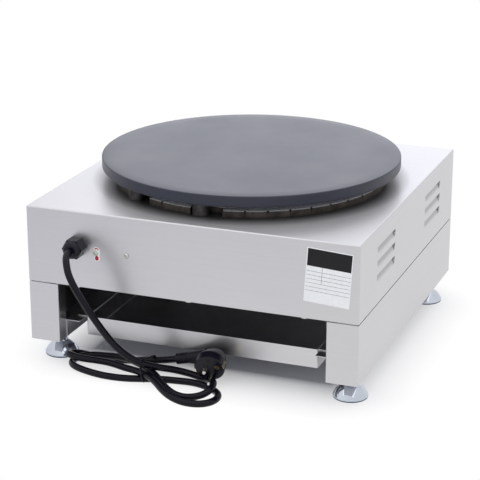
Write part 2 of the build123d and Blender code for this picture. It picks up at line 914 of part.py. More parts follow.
# the strands that the tie holds, as (y, z) where it goes round them
tie_x = 57.4
tie_wire = 1.2
tied_strands = [(203.3, 18.9), (223.5, 14.3), (233.3, 4.5), (238.2, 14.0), (240.0, 28.0)]


def bend_radii(route):
    """Each arc as large as its two runs allow."""
    points = [Vector(*point) for point in route]
    radii = []
    for before, corner, after in zip(points, points[1:], points[2:]):
        run_in = corner - before
        run_out = after - corner
        half_turn = math.radians(run_in.get_angle(run_out)) / 2
        radii.append(0.45 * min(run_in.length, run_out.length) / math.tan(half_turn))
    return radii


def cord_tube(route, name):
    radii = bend_radii(route)
    path = FilletPolyline(*route, radius=radii)
    run = Vector(*route[1]) - Vector(*route[0])
    tube = sweep(Plane(origin=route[0], z_dir=run) * Circle(cord_radius), path=path)
    expected = math.pi * cord_radius**2 * path.length
    print(name, "length", round(path.length, 1), "radii", [round(radius) for radius in radii])
    print(name, "volume", round(tube.volume), "section x length", round(expected))
    return tube


def cord_inner():
    return rod(cord_radius, (gland_x, 205, gland_z), (gland_x, half_depth + gland_reach, gland_z))


def cord_hank():
    """The bundle as one solid: two loops, the runs that cross and lie higher, and room for the plug."""
    level = hank_height / 2
    loops = extrude(make_face(Spline(*hank_outline, periodic=True)), level + 0.4)
    for eye in (hank_left_eye, hank_right_eye):
        loops -= extrude(make_face(Spline(*eye, periodic=True)), level + 1)
    upper = extrude(make_face(Spline(*hank_upper_outline, periodic=True)), hank_height)
    hank = loops + upper
    hank -= at_plug(rod(plug_radius + 0.4, (0, 0, -plug_depth), (0, 0, 0.4)))
    return hank - at_plug(block(-4, 4, -14, 14, 0, pin_length + 1))


def cord_tie():
    """A twist of thin wire drawn tight round the bundle and the lead that lies on it."""
    outer = make_hull([Pos(y, z) * Circle(cord_radius + tie_wire).edge() for y, z in tied_strands])
    inner = make_hull([Pos(y, z) * Circle(cord_radius + 0.05).edge() for y, z in tied_strands])
    ring = outer - inner - Pos(220, -10) * Rectangle(80, 20)
    start = Plane((tie_x - tie_wire / 2, 0, 0), x_dir=(0, 1, 0), z_dir=(1, 0, 0))
    return extrude(start * ring, tie_wire)


# plug

def at_plug(shape):
    """From the plug's own frame: z along the pins, x towards the earth hole, the face at z = 0."""
    return plug_frame.location * shape


def plug_body():
    """A round rim that narrows to a ridge behind, drawn out sideways to a ribbed strain relief."""
    rim = chamfer(rod(plug_radius, (0, 0, -plug_rim), (0, 0, 0)).faces().sort_by(Axis.Z)[-1].edges(), 1)
    grip = loft(
        [
            Plane((0, 0, -plug_rim)) * Ellipse(plug_radius - 0.01, plug_radius - 0.02),
            Plane((-0.3, 0, -20)) * Ellipse(18.2, 15.0),
            Plane((-1, 0, -plug_depth)) * Ellipse(15.5, 9.0),
        ]
    )
    grip = fillet(grip.faces().sort_by(Axis.Z)[0].edges(), 2.5)
    neck = loft(
        [
            neck_section(-4, -20.0, 15.5, 8.0),
            neck_section(-19, -23.5, 11.0, 7.8),
            neck_section(-neck_reach, -neck_depth, 7.4, 7.2),
        ]
    )
    relief = rod(relief_radius, (-neck_reach, 0, -neck_depth), (-relief_reach, 0, -neck_depth))
    pitch = (relief_reach - neck_reach) / relief_ribs
    for rib in range(relief_ribs):
        x = -relief_reach + pitch * rib
        relief += rod(relief_radius + 0.8, (x, 0, -neck_depth), (x + pitch * 0.55, 0, -neck_depth))
    body = rim + grip + neck + relief
    body -= rod(3.2, (earth_hole_reach, 0, -12), (earth_hole_reach, 0, 1))
    for y in (-pin_spacing / 2, pin_spacing / 2):
        body -= rod(pin_diameter / 2, (0, y, -8), (0, y, 1))
    for side in (-1, 1):
        edge = side * plug_radius
        body -= block(edge - 1.6, edge + 1.6, -3.5, 3.5, -plug_rim, 1)
    return at_plug(body)


def neck_section(x, z, across, deep):
    """An ellipse across the neck, its middle at (x, z) in the plug's own frame."""
    return Plane((x, 0, z), x_dir=(0, 1, 0), z_dir=(-1, 0, 0)) * Ellipse(across, deep)


def plug_pins():
    pins = []
    for y in (-pin_spacing / 2, pin_spacing / 2):
        pin = rod(pin_diameter / 2, (0, y, -8), (0, y, pin_length))
        pin = fillet(pin.faces().sort_by(Axis.Z)[-1].edges(), 1.6)
        pins.append(at_plug(pin))
    return pins


def plug_earth_contacts():
    """The two side springs and the socket for a wall outlet's earth pin."""
    x = earth_hole_reach
    socket = rod(3.2, (x, 0, -12), (x, 0, -0.4)) - rod(2.4, (x, 0, -11), (x, 0, 1))
    pieces = [socket]
    for side in (-1, 1):
        edge = side * (plug_radius - 0.9)
        pieces.append(block(edge - 0.7, edge + 0.7, -3, 3, -plug_rim, -0.3))
    return [at_plug(piece) for piece in pieces]


def write(name, shapes):
    solids = shapes if isinstance(shapes, list) else [shapes]
    export_step(solids[0] if len(solids) == 1 else Compound(children=solids), f"parts/{name}.step")


def main():
    os.makedirs("parts", exist_ok=True)
    write("casing", casing())
    write("base_plate", base_plate())
    side_panel = right_side_panel()
    write("right_side_panel", side_panel)
    write("left_side_panel", mirror(side_panel, Plane.YZ))
    rail = right_rail()
    write("right_rail", rail)
    write("left_rail", mirror(rail, Plane.YZ))
    write("frame_screws", frame_screws())
    write("weld_nuts", nuts_at_feet(foot_height + sheet))
    write("lock_nuts", nuts_at_feet(foot_height - nut_height))
    for corner, (x, y) in foot_places().items():
        write(f"{corner}_foot", Pos(x, y, 0) * foot())
        write(f"{corner}_foot_pad", Pos(x, y, 0) * foot_pad_ring())
    write("drawer_tray", drawer_tray())
    write("drawer_front", drawer_front())
    write("drawer_handle", drawer_handle())
    write("drawer_screws", drawer_screws())
    write("griddle_plate", griddle_plate())
    write("support_legs", support_legs())
    write("leg_bolts", leg_bolts())
    write("heater_pan", heater_pan())
    write("insulation_disc", insulation_disc())
    write("inner_element", heating_element(0))
    write("outer_element", heating_element(1))
    write("element_clamps", element_clamps())
    write("clamp_studs", clamp_studs())
    write("clamp_nuts", clamp_nuts())
    write("overheat_limiter", overheat_limiter())
    write("thermostat_bulb", thermostat_bulb())
    write("bulb_saddles", bulb_saddles())
    write("thermostat_body", thermostat_body())
    write("knob_bezel", knob_bezel())
    write("thermostat_nut", thermostat_nut())
    write("thermostat_spindle", thermostat_spindle())
    write("thermostat_knob", thermostat_knob())
    write("lamp_bodies", lamp_bodies())
    write("power_lamp_lens", lamp_lens(lamp_xs[0]))
    write("heating_lamp_lens", lamp_lens(lamp_xs[1]))
    write("gland_body", gland_body())
    write("gland_cap", gland_cap())
    write("gland_seal", gland_seal())
    write("gland_locknut", gland_locknut())
    write("terminal_bracket", terminal_bracket())
    write("terminal_block", terminal_block())
    write("rear_screws", rear_screws())
    write("rear_nuts", rear_nuts())
    write("cord_inner", cord_inner())
    write("cord_lead", cord_tube(lead_route, "lead"))
    write("cord_hank", cord_hank())
    write("cord_tail", cord_tube(tail_route, "tail"))
    write("cord_tie", cord_tie())
    write("plug_body", plug_body())
    write("plug_pins", plug_pins())
    write("plug_earth_contacts", plug_earth_contacts())


main()
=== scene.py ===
import math

import bmesh
import bpy
from mathutils import Matrix, Vector


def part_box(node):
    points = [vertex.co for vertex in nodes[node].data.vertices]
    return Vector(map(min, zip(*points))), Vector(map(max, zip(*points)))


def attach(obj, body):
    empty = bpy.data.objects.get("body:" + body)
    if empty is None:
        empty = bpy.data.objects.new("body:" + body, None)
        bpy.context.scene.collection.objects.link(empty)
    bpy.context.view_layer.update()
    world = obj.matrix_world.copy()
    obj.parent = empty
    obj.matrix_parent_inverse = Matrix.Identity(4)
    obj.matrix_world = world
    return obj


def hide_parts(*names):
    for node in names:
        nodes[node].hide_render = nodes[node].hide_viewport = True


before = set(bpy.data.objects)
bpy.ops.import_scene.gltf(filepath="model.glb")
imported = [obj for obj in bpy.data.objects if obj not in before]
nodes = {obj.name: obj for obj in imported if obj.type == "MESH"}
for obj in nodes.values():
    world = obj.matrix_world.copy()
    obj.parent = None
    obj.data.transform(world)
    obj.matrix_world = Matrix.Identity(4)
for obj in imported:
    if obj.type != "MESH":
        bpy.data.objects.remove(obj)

scene = bpy.context.scene
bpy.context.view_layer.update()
scene.view_settings.view_transform = "Standard"


class Flow:  # a socket that takes part in Python arithmetic
    def __init__(self, maker, socket):
        self.maker = maker
        self.socket = socket

    def math(self, operation, *values):
        return self.maker.node("ShaderNodeMath", {"operation": operation},
                               dict(enumerate(values)))

    def __add__(self, other):
        return self.math("ADD", self, other)

    def __sub__(self, other):
        return self.math("SUBTRACT", self, other)

    def __mul__(self, other):
        return self.math("MULTIPLY", self, other)

    def __truediv__(self, other):
        return self.math("DIVIDE", self, other)

    def __pow__(self, other):
        return self.math("POWER", self, other)

    def __radd__(self, other):
        return self.math("ADD", other, self)

    def __rsub__(self, other):
        return self.math("SUBTRACT", other, self)

    def __rmul__(self, other):
        return self.math("MULTIPLY", other, self)

    def __rtruediv__(self, other):
        return self.math("DIVIDE", other, self)

    def __lt__(self, other):
        return self.math("LESS_THAN", self, other)

    def __gt__(self, other):
        return self.math("GREATER_THAN", self, other)

    def absolute(self):
        return self.math("ABSOLUTE", self)

    def least(self, floor):
        return self.math("MAXIMUM", self, floor)

    def most(self, ceiling):
        return self.math("MINIMUM", self, ceiling)

    def sine(self):
        return self.math("SINE", self)

    def cosine(self):
        return self.math("COSINE", self)


class NodeMaker:  # fills one node tree, of a material, the world or a shape
    def __init__(self, tree):
        self.tree = tree
        tree.nodes.clear()

    def node(self, kind, settings=None, values=None, out=0):
        made = self.tree.nodes.new(kind)
        for key, value in (settings or {}).items():
            if key == "stops":
                self.fillRamp(made.color_ramp.elements, value)
            else:
                setattr(made, key, value)
        for key, value in (values or {}).items():
            if isinstance(value, Flow):
                self.tree.links.new(value.socket, made.inputs[key])
            else:
                made.inputs[key].default_value = value
        return Flow(self, made.outputs[out]) if made.outputs else None

    def twin(self, flow, out):  # another output of the node that a flow comes from
        return Flow(self, flow.socket.node.outputs[out])

    def split(self, vector):
        first = self.node("ShaderNodeSeparateXYZ", None, {0: vector})
        return [self.twin(first, k) for k in range(3)]

    def share(self, value, start, end):  # 0 up to the start, 1 from the end on
        return self.node("ShaderNodeMapRange", None,
                         {"Value": value, "From Min": start, "From Max": end})

    def fillRamp(self, elements, stops):
        while len(elements) < len(stops):
            elements.new(1.0)
        for element, (place, level) in zip(elements, stops):
            element.position = place
            element.color = (level, level, level, 1)


class Finish(NodeMaker):  # one material
    def __init__(self, name):
        self.material = bpy.data.materials.new(name)
        self.material.use_nodes = True
        super().__init__(self.material.node_tree)

    def where(self):
        return self.node("ShaderNodeTexCoord", out="Object")

    def along(self, scale):  # the sheet's own directions: x with the brushing, y across it
        where = self.node("ShaderNodeAttribute", {"attribute_name": "brush"}, out="Vector")
        return self.node("ShaderNodeMapping", None, {"Vector": where, "Scale": scale})

    def axes(self):
        return self.split(self.where())

    def noise(self, scale, detail=3.0, vector=None, rough=0.5):
        return self.node("ShaderNodeTexNoise", None, {
            "Vector": vector or self.where(), "Scale": scale, "Detail": detail, "Roughness": rough})

    def ramp(self, level, low=0.3, high=0.7):
        return self.node("ShaderNodeValToRGB", {"stops": ((low, 0.0), (high, 1.0))}, {"Fac": level})

    def colour(self, amount, low, high):
        return self.node("ShaderNodeMix", {"data_type": "RGBA"},
                         {"Factor": amount, 6: low, 7: high}, out=2)

    def bump(self, height, depth):
        return self.node("ShaderNodeBump", None, {"Height": height, "Distance": depth})

    def close(self, values):  # the surface itself, from plain numbers and flows
        shader = self.node("ShaderNodeBsdfPrincipled", None, values)
        self.node("ShaderNodeOutputMaterial", None, {"Surface": shader})
        return self.material


def rgb(red, green, blue):  # screen levels of 0 to 255 as the shader's linear colour
    def linear(level):
        level = level / 255
        return level / 12.92 if level <= 0.04045 else ((level + 0.055) / 1.055) ** 2.4
    return (linear(red), linear(green), linear(blue), 1)


steelLook = {
    "light": (208, 207, 210),
    "dark": (199, 198, 201),
    "roughness": 0.33,
    "roughnessSpread": 0.08,
    "linesAcross": 2200,  # brush lines per metre
    "linesAlong": 22,
    "linesShare": 0.4,  # of the tone
    "streaksAcross": 260,
    "streaksAlong": 5,
    "streaksShare": 0.25,
    "clouds": 4.0,
    "cloudsShare": 0.35,
    "relief": 0.00001,
    "deckFrom": 0.2150,  # heights of the deck, which scatters more light than the walls
    "deckTo": 0.2170,
    "deckMetallic": 0.72,
    "deckRougher": 0.09,
    "ringReach": (0.186, 0.214),  # radii between which the deck's painted shadow round the ring fades to the clean sheet
    "ringShadowTone": 0.80,
    "wall": 0.2222,  # half width inside the louvred walls
    "pocket": 0.0014,  # depth over which a louvre's pocket is painted darker, as shade
    "pocketShadeTone": 0.33,
    "pocketsFrom": 0.140,
    "pocketsTo": 0.205,
    "pocketsReach": 0.190,
}


def brushedSteel(name):
    look = steelLook
    finish = Finish(name)
    lines = finish.noise(1.0, vector=finish.along((look["linesAlong"], look["linesAcross"], 1)))
    streaks = finish.noise(
        1.0, vector=finish.along((look["streaksAlong"], look["streaksAcross"], 1)))
    clouds = finish.noise(look["clouds"], detail=2.0)
    tone = finish.ramp(look["streaksShare"] * streaks + look["linesShare"] * lines
                       + look["cloudsShare"] * clouds)
    sheet = finish.colour(tone, rgb(*look["dark"]), rgb(*look["light"]))
    x, y, z = finish.axes()
    deck = z > look["deckFrom"]
    # painted shadow: the deck is darkened towards the ring, where the plate above shades it
    inner, outer = look["ringReach"]
    ringShadow = finish.share((x * x + y * y) ** 0.5, outer, inner) * deck * (z < look["deckTo"])
    # painted shade: the sheet is darkened inside the louvre pockets, as if they held less light
    pocket = finish.share(x.absolute(), look["wall"], look["wall"] - look["pocket"])
    pocket = pocket * (z > look["pocketsFrom"]) * (z < look["pocketsTo"])
    pocket = pocket * (y.absolute() < look["pocketsReach"])
    # the painted shade of the pockets and the painted shadow round the ring darken the sheet's
    # colour towards black
    paintedShade = pocket * look["pocketShadeTone"] + ringShadow * look["ringShadowTone"]
    even = look["roughness"] - look["roughnessSpread"] / 2
    return finish.close({
        "Base Color": finish.colour(paintedShade, sheet, (0, 0, 0, 1)),
        "Metallic": 1.0 - deck * (1.0 - look["deckMetallic"]),
        "Roughness": even + look["roughnessSpread"] * lines + deck * look["deckRougher"],
        "Normal": finish.bump(lines, look["relief"]),
    })


plateLook = {
    "colour": (33, 36, 52),
    "worn": (43, 46, 66),
    "wear": 9.0,
    "wearFrom": 0.35,
    "wearShare": 0.7,
    "grain": 900,
    "grainShare": 0.3,
    "roughness": 0.37,
    "wearRougher": 0.06,
    "grainSmoother": 0.05,
    "ringPitch": 0.0007,  # turning marks left by the lathe
    "ringDepth": 0.000005,
    "ringShare": 0.4,
    "bare": (176, 177, 180),  # the machined underside
    "bareBelow": 0.2340,
}


def seasonedIron():
    look = plateLook
    finish = Finish("seasonedIron")
    x, y, z = finish.axes()
    rings = ((x * x + y * y) ** 0.5 * (2 * math.pi / look["ringPitch"])).sine()
    grain = finish.noise(look["grain"], detail=4.0)
    wear = finish.ramp(finish.noise(look["wear"], detail=4.0, rough=0.6), look["wearFrom"])
    dark = finish.colour(wear * look["wearShare"] + grain * look["grainShare"],
                         rgb(*look["colour"]), rgb(*look["worn"]))
    return finish.close({
        "Base Color": finish.colour(z < look["bareBelow"], dark, rgb(*look["bare"])),
        "Roughness": look["roughness"] + look["wearRougher"] * wear - look["grainSmoother"] * grain,
        "Normal": finish.bump(rings * look["ringShare"] + grain, look["ringDepth"]),
    })


metalLooks = {  # low tone, high tone, roughness, grain per metre, metallic
    "darkSteel": ((58, 56, 57), (84, 81, 81), 0.42, 120, 0.85),
    "elementSheath": ((92, 86, 82), (140, 134, 128), 0.45, 260, 0.9),
    "zincFastener": ((176, 176, 170), (216, 216, 210), 0.26, 400, 1.0),
    "brass": ((204, 192, 158), (232, 222, 194), 0.28, 300, 1.0),
    "pinNickel": ((196, 192, 182), (232, 230, 224), 0.16, 300, 1.0),
    "labelFoil": ((240, 241, 244), (248, 249, 251), 0.45, 300, 0.6),
    "bezelAluminium": ((176, 178, 182), (206, 208, 212), 0.30, 900, 1.0),
    # painted highlight: a pale, non-metal finish that stands for glints along the tray's bends
    "bentSteel": ((236, 236, 238), (246, 246, 248), 0.40, 300, 0.0),
    "chromeFoot": ((186, 193, 204), (206, 212, 222), 0.07, 30, 1.0),
}


metalDetail = {
    "roughnessSpread": 0.1,
    "smoother": 0.04,
    "finer": 6,  # the relief's grain beside the colour's
    "relief": 0.000006,
}


def plainMetal(name):
    low, high, roughness, grain, metallic = metalLooks[name]
    look = metalDetail
    finish = Finish(name)
    tone = finish.noise(grain, detail=4.0)
    return finish.close({
        "Base Color": finish.colour(finish.ramp(tone), rgb(*low), rgb(*high)),
        "Metallic": metallic,
        "Roughness": roughness - look["smoother"] + look["roughnessSpread"] * tone,
        "Normal": finish.bump(finish.noise(grain * look["finer"], detail=2.0), look["relief"]),
    })


panLook = {
    # painted shade: the tabs' dark colours, with a random tone between them, stand for the shade
    # under the plate
    "tabs": (58, 54, 51),
    "tabsWorn": (98, 92, 86),
    "litShelf": (226, 226, 228),  # painted light: the flat rim above the bend inside the tabs, given a pale non-metal colour
    "bendLow": 0.2230,
    "bendHigh": 0.2237,
    "metallic": 0.6,
    "roughness": 0.5,
    "roughnessSpread": 0.1,
    "grain": 70,
    "fineGrain": 420,
    "relief": 0.000006,
}


def panSteel():
    look = panLook
    finish = Finish("panSteel")
    tone = finish.noise(look["grain"], detail=4.0)
    # painted light and shade on one steel: pale and non-metal above the bend, dark and metal below
    # it
    high = finish.share(finish.axes()[2], look["bendLow"], look["bendHigh"])
    tabs = finish.colour(finish.ramp(tone), rgb(*look["tabs"]), rgb(*look["tabsWorn"]))
    return finish.close({
        "Base Color": finish.colour(high, tabs, rgb(*look["litShelf"])),
        "Metallic": look["metallic"] - look["metallic"] * high,
        "Roughness": look["roughness"] + look["roughnessSpread"] * tone,
        "Normal": finish.bump(finish.noise(look["fineGrain"], detail=2.0), look["relief"]),
    })


mouldedLooks = {  # low tone, high tone, roughness, grain per metre, its depth, specular level
    "footPad": ((22, 36, 92), (34, 52, 120), 0.60, 1400, 0.00003, 0.4),
    "blackPlastic": ((18, 18, 27), (26, 26, 37), 0.30, 1600, 0.00001, 0.24),
    "knobPlastic": ((14, 14, 16), (24, 24, 27), 0.30, 1800, 0.00001, 0.5),
    "cordRubber": ((12, 12, 21), (19, 19, 31), 0.22, 600, 0.00002, 0.17),
    "sealRubber": ((14, 14, 16), (22, 22, 24), 0.70, 900, 0.00004, 0.3),
    "ceramic": ((226, 222, 210), (240, 238, 230), 0.50, 900, 0.00002, 0.5),
    "dialPrint": ((224, 224, 222), (236, 236, 234), 0.55, 900, 0.00001, 0.4),
    "dialInk": ((18, 18, 20), (28, 28, 31), 0.50, 900, 0.00001, 0.4),
    "labelBlack": ((20, 19, 23), (30, 29, 33), 0.40, 900, 0.00001, 0.25),
    "tagWhite": ((250, 250, 250), (255, 255, 255), 0.5, 900, 0.00001, 0.5),
    "tagRed": ((196, 18, 34), (214, 28, 44), 0.5, 900, 0.00001, 0.4),
    "fibreBoard": ((206, 200, 186), (236, 232, 220), 0.95, 700, 0.0003, 0.2),
}


mouldedDetail = {
    "clouds": 40,
    "roughnessSpread": 0.12,
}


def moulded(name):
    low, high, roughness, grain, depth, specular = mouldedLooks[name]
    spread = mouldedDetail["roughnessSpread"]
    finish = Finish(name)
    tone = finish.noise(grain, detail=4.0)
    return finish.close({
        "Base Color": finish.colour(finish.noise(mouldedDetail["clouds"]), rgb(*low), rgb(*high)),
        "Roughness": roughness - spread / 2 + spread * tone,
        "Specular IOR Level": specular,
        "Normal": finish.bump(tone, depth),
    })


lensLook = {
    "facets": 2600,  # radians per metre of height
    "facetTone": 0.3,
    "roughness": 0.12,
    "facetRougher": 0.1,
    "coat": 0.6,
    "glow": 0.05,
}


def lampLens(name, colour, glow):
    look = lensLook
    finish = Finish(name)
    facets = (finish.axes()[2] * look["facets"]).sine() * 0.5 + 0.5
    return finish.close({
        "Base Color": finish.colour(facets * look["facetTone"], rgb(*colour), rgb(*glow)),
        "Roughness": look["roughness"] + look["facetRougher"] * facets,
        "Coat Weight": look["coat"],
        "Emission Color": rgb(*glow),
        "Emission Strength": look["glow"],
    })


finishes = {
    "steel_sheet": brushedSteel("steelSheet"),
    "cast_iron_plate": seasonedIron(),
    "dark_steel": plainMetal("darkSteel"),
    "pan_steel": panSteel(),
    "element_sheath": plainMetal("elementSheath"),
    "chrome_foot": plainMetal("chromeFoot"),
    "zinc_fastener": plainMetal("zincFastener"),
    "brass": plainMetal("brass"),
    "pin_nickel": plainMetal("pinNickel"),
    "bezel_aluminium": plainMetal("bezelAluminium"),
    "insulation": moulded("fibreBoard"),
    "rubber_pad": moulded("footPad"),
    "black_plastic": moulded("blackPlastic"),
    "knob_plastic": moulded("knobPlastic"),
    "cord_rubber": moulded("cordRubber"),
    "seal_rubber": moulded("sealRubber"),
    "ceramic": moulded("ceramic"),
    "dial_print": moulded("dialPrint"),
    "dial_ink": moulded("dialInk"),
    "label_white": plainMetal("labelFoil"),
    # painted highlight for the glints along the tray's bends
    "bent_steel": plainMetal("bentSteel"),
    "label_black": moulded("labelBlack"),
    "tag_white": moulded("tagWhite"),
    "tag_red": moulded("tagRed"),
    "lens_green": lampLens("lensGreen", (20, 120, 40), (60, 220, 90)),
    "lens_orange": lampLens("lensOrange", (200, 84, 16), (255, 150, 50)),
}

slotOf = {}  # each solid's slot, as its own material is named
for name, piece in nodes.items():
    slotOf[name] = piece.material_slots[0].material.name.split(".")[0]
    piece.material_slots[0].material = finishes[slotOf[name]]
print("finishes made")


def addPiece(name, data, body=None):
    piece = bpy.data.objects.new(name, data)
    scene.collection.objects.link(piece)
    if body:
        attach(piece, body)
    return piece


def addMesh(name, verts, faces, material):
    data = bpy.data.meshes.new(name)
    data.from_pydata(verts, [], faces)
    data.materials.append(material)
    return addPiece(name, data)


def dataOf(mesh, name):  # what a bmesh holds, as plain mesh data
    data = bpy.data.meshes.new(name)
    mesh.to_mesh(data)
    mesh.free()
    return data


def pathThrough(name, places):  # an open NURBS curve drawn towards its places
    data = bpy.data.curves.new(name, "CURVE")
    data.dimensions = "3D"
    line = data.splines.new("NURBS")
    line.points.add(len(places) - 1)
    for point, place in zip(line.points, places):
        point.co = (*place, 1)
    line.order_u = 3
    line.use_endpoint_u = True
    return data


def bake(seed):  # what an object shows once evaluated, as plain mesh data; the object goes
    ready = bpy.context.evaluated_depsgraph_get()
    data = bpy.data.meshes.new_from_object(seed.evaluated_get(ready), depsgraph=ready)
    bpy.data.objects.remove(seed)
    return data


def brushLines(data):
    # where each corner lies along and across the brushing, from the way its face looks
    lines = data.attributes.new("brush", "FLOAT_VECTOR", "CORNER")
    for face in data.polygons:
        x, y, z = (abs(part) for part in face.normal)
        for corner in face.loop_indices:
            spot = data.vertices[data.loops[corner].vertex_index].co
            if x > max(y, z):
                place = (spot.y, spot.z)
            elif y > z:
                place = (spot.x, spot.z)
            else:
                place = (spot.x, spot.y)
            lines.data[corner].vector = (*place, 0)


dressingLook = {
    "merge": 2e-6,  # distance below which corners are one
    "flat": 0.5,  # degrees between faces that become one
    "segments": 2,  # across a broken edge
}


def dressed(node, body="body", sharp=30, bevel=0.0):
    # a merged, smooth-shaded copy of a solid, with crisp or slightly broken edges where it turns
    look = dressingLook
    mesh = bmesh.new()
    mesh.from_mesh(nodes[node].data)
    bmesh.ops.remove_doubles(mesh, verts=mesh.verts, dist=look["merge"])
    bmesh.ops.dissolve_limit(mesh, angle_limit=math.radians(look["flat"]), verts=mesh.verts,
                             edges=mesh.edges)
    if bevel:
        edges = [edge for edge in mesh.edges
                 if edge.is_manifold and edge.calc_face_angle(0) > math.radians(sharp)]
        bmesh.ops.bevel(mesh, geom=edges, offset=bevel, segments=look["segments"], profile=0.5,
                        affect="EDGES", clamp_overlap=True)
    data = dataOf(mesh, node + "_dressed")
    data.shade_smooth()
    data.set_sharp_from_angle(angle=math.radians(sharp))
    data.materials.append(finishes[slotOf[node]])
    if slotOf[node] == "steel_sheet":
        brushLines(data)
    piece = addPiece(node + "_dressed", data, body)
    even = piece.modifiers.new("evenNormals", "WEIGHTED_NORMAL")
    even.keep_sharp = True
    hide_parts(node)
    return piece


def addBlock(name, low, high, material, body, edge=0.0):
    mesh = bmesh.new()
    bmesh.ops.create_cube(mesh, size=1.0)
    for vertex in mesh.verts:
        vertex.co = [a + (b - a) * (part + 0.5) for a, b, part in zip(low, high, vertex.co)]
    if edge:
        bmesh.ops.bevel(mesh, geom=mesh.edges[:], offset=edge, segments=dressingLook["segments"],
                        profile=0.5, affect="EDGES")
    data = dataOf(mesh, name)
    data.materials.append(material)
    return addPiece(name, data, body)


def addPrism(name, outline, low, high, material, body, sharp=0):
    # an outline of (x, z) drawn out from one depth to another, flat-shaded unless given an angle
    mesh = bmesh.new()
    face = mesh.faces.new([mesh.verts.new((x, low, z)) for x, z in outline])
    for corner in bmesh.ops.extrude_face_region(mesh, geom=[face])["geom"]:
        if isinstance(corner, bmesh.types.BMVert):
            corner.co.y = high
    bmesh.ops.recalc_face_normals(mesh, faces=mesh.faces)
    data = dataOf(mesh, name)
    if sharp:
        data.shade_smooth()
        data.set_sharp_from_angle(angle=math.radians(sharp))
    data.materials.append(material)
    return addPiece(name, data, body)


def addNumber(name, words, middle, height, thick):  # flat figures that face the front
    letters = bpy.data.curves.new(name, "FONT")
    letters.body = words
    letters.size = height
    letters.align_x = "CENTER"
    letters.align_y = "CENTER"
    letters.extrude = thick
    seed = bpy.data.objects.new(name + "Seed", letters)
    scene.collection.objects.link(seed)
    data = bake(seed)
    data.transform(Matrix.Translation(middle) @ Matrix.Rotation(math.pi / 2, 4, "X"))
    data.materials.clear()
    data.materials.append(finishes["dial_ink"])
    addPiece(name, data, "body")


dressings = [  # solids, the body they ride on, angle that stays sharp, size of the broken edges
    (("casing",), "body", 30, 0.0),
    (("base_plate", "left_side_panel", "right_side_panel", "left_rail", "right_rail"),
     "body", 30, 0.0003),
    (("drawer_tray", "drawer_front"), "drawer", 30, 0.0003),
    (("heater_pan",), "body", 30, 0.0),
    (("support_legs", "gland_body", "gland_cap", "rear_screws", "gland_seal"), "body", 30, 0.0002),
    (("drawer_handle",), "drawer", 30, 0.0),
    (("thermostat_knob",), "thermostat_dial", 30, 0.0003),
    (("knob_bezel", "lamp_bodies", "power_lamp_lens", "heating_lamp_lens", "cord_inner"),
     "body", 40, 0.0),
]
for corner in ("front_left", "front_right", "rear_left", "rear_right"):
    dressings.append(((corner + "_foot", corner + "_foot_pad"), corner + "_leveller", 34, 0.0))
for solids, body, sharp, bevel in dressings:
    for node in solids:
        dressed(node, body, sharp, bevel)
plugBody = dressed("plug_body", sharp=32, bevel=0.00025)
plugPins = dressed("plug_pins", sharp=50)
plugContacts = dressed("plug_earth_contacts", sharp=40)
print("solids dressed")


class Shape(NodeMaker):  # one geometry tree, whose inputs are its sizes
    def __init__(self, name, sizes, takesGeometry=False):
        super().__init__(bpy.data.node_groups.new(name, "GeometryNodeTree"))
        self.sizes = sizes
        self.keys = {}
        if takesGeometry:
            self.addSocket("Geometry", "NodeSocketGeometry")
        for label, value in sizes.items():
            kind = "NodeSocketInt" if isinstance(value, int) else "NodeSocketFloat"
            self.keys[label] = self.addSocket(label, kind).identifier
        self.addSocket("Geometry", "NodeSocketGeometry", "OUTPUT")
        self.given = self.node("NodeGroupInput").socket.node

    def addSocket(self, label, kind, side="INPUT"):
        return self.tree.interface.new_socket(label, in_out=side, socket_type=kind)

    def size(self, label):
        return Flow(self, self.given.outputs[label])

    def vector(self, x=0.0, y=0.0, z=0.0):
        return self.node("ShaderNodeCombineXYZ", None, {0: x, 1: y, 2: z})

    def vectors(self, operation, values):
        return self.node("ShaderNodeVectorMath", {"operation": operation}, values)

    def join(self, *parts):
        joined = self.tree.nodes.new("GeometryNodeJoinGeometry")
        for part in parts:
            self.tree.links.new(part.socket, joined.inputs[0])
        return Flow(self, joined.outputs[0])

    def finished(self, geometry, material, smooth=True):
        whole = self.node("GeometryNodeRealizeInstances", None, {0: geometry})
        whole = self.node("GeometryNodeSetShadeSmooth", None,
                          {"Geometry": whole, "Shade Smooth": smooth})
        whole = self.node("GeometryNodeSetMaterial", None,
                          {"Geometry": whole, "Material": material})
        self.node("NodeGroupOutput", None, {0: whole})

    def mesh(self, name, start=None):  # runs the tree and keeps what it makes as a plain mesh
        seed = bpy.data.objects.new(name + "Seed", start or bpy.data.meshes.new(name + "Seed"))
        scene.collection.objects.link(seed)
        modifier = seed.modifiers.new("shape", "NODES")
        modifier.node_group = self.tree
        for label, value in self.sizes.items():
            modifier[self.keys[label]] = value
        data = bake(seed)
        data.name = name
        return data


crispAngle = math.radians(50)  # from which the edges of the plate and of the knob's ribs are sharp


trayBends = {
    "front": -0.2114,
    "back": 0.1864,
    "inside": 0.1583,  # half width between the side walls
    "floor": 0.0351,
    "floorRound": 0.0018,
    "overlap": 0.0002,
    "lip": 0.0593,
    "lipRound": 0.0009,
    "lipInset": 0.0006,
    "steps": 8,  # of the floor's bend; the lip's whole round has twice as many
    "sharp": 40,
}


